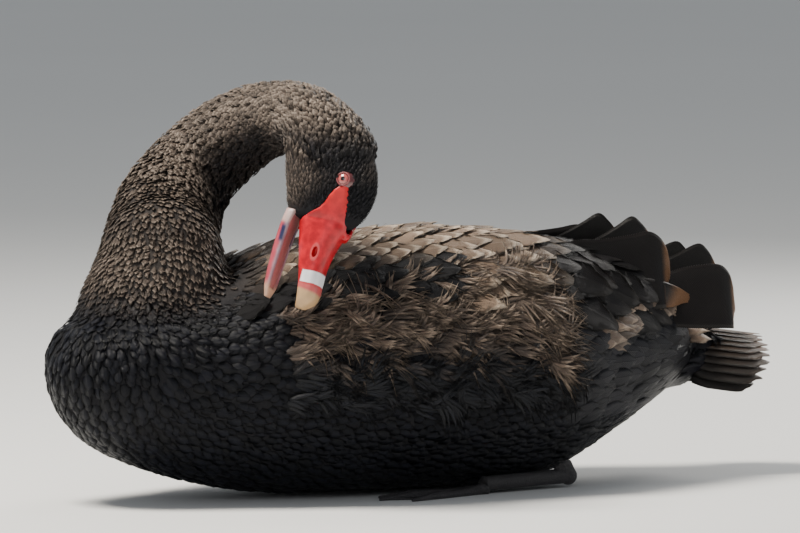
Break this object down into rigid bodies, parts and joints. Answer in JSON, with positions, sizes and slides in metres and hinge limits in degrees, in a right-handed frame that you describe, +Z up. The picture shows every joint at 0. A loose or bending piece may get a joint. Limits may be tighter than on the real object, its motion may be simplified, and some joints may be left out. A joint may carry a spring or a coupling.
{
  "type": "black swan model",
  "caption": "Life-size still model of a black swan resting on its belly, with its neck arched back and its open bill reaching down to the feathers of its left side.",
  "frame": {"origin": "on the floor, on the flat of the belly below the middle of the body", "axes": "+Z up, +X from breast to tail, the bird's left side towards -Y"},
  "size_m": [0.6066, 0.2619, 0.2998],
  "materials": {
    "black_feathers": "soot black body feathers, soft and matt",
    "neck_feathers": "small black neck feathers, brown where the light catches them",
    "head_feathers": "short velvety black feathers",
    "wing_feathers": "brown-black feathers with pale worn edges",
    "flank_feathers": "loose brown-black flank plumes",
    "tail_feathers": "stiff black tail feathers with brown tips",
    "red_bill": "waxy red bill with a pale band and tip",
    "eye": "wet eye with a red iris and dark pupil",
    "foot_skin": "dark grey-black scaly skin"
  },
  "bodies": {
    "root": {"torso": "black_feathers", "neck_base": "neck_feathers", "neck_middle": "neck_feathers", "neck_upper": "neck_feathers", "head": "head_feathers", "eye_left": "eye", "eye_right": "eye", "bill_upper": "red_bill", "bill_lower": "red_bill", "wing_left": "wing_feathers", "wing_right": "wing_feathers", "flank_left": "flank_feathers", "flank_right": "flank_feathers", "tail": "tail_feathers", "leg_left": "foot_skin", "leg_right": "foot_skin", "foot_left": "foot_skin", "foot_right": "foot_skin"}
  },
  "joints": []
}
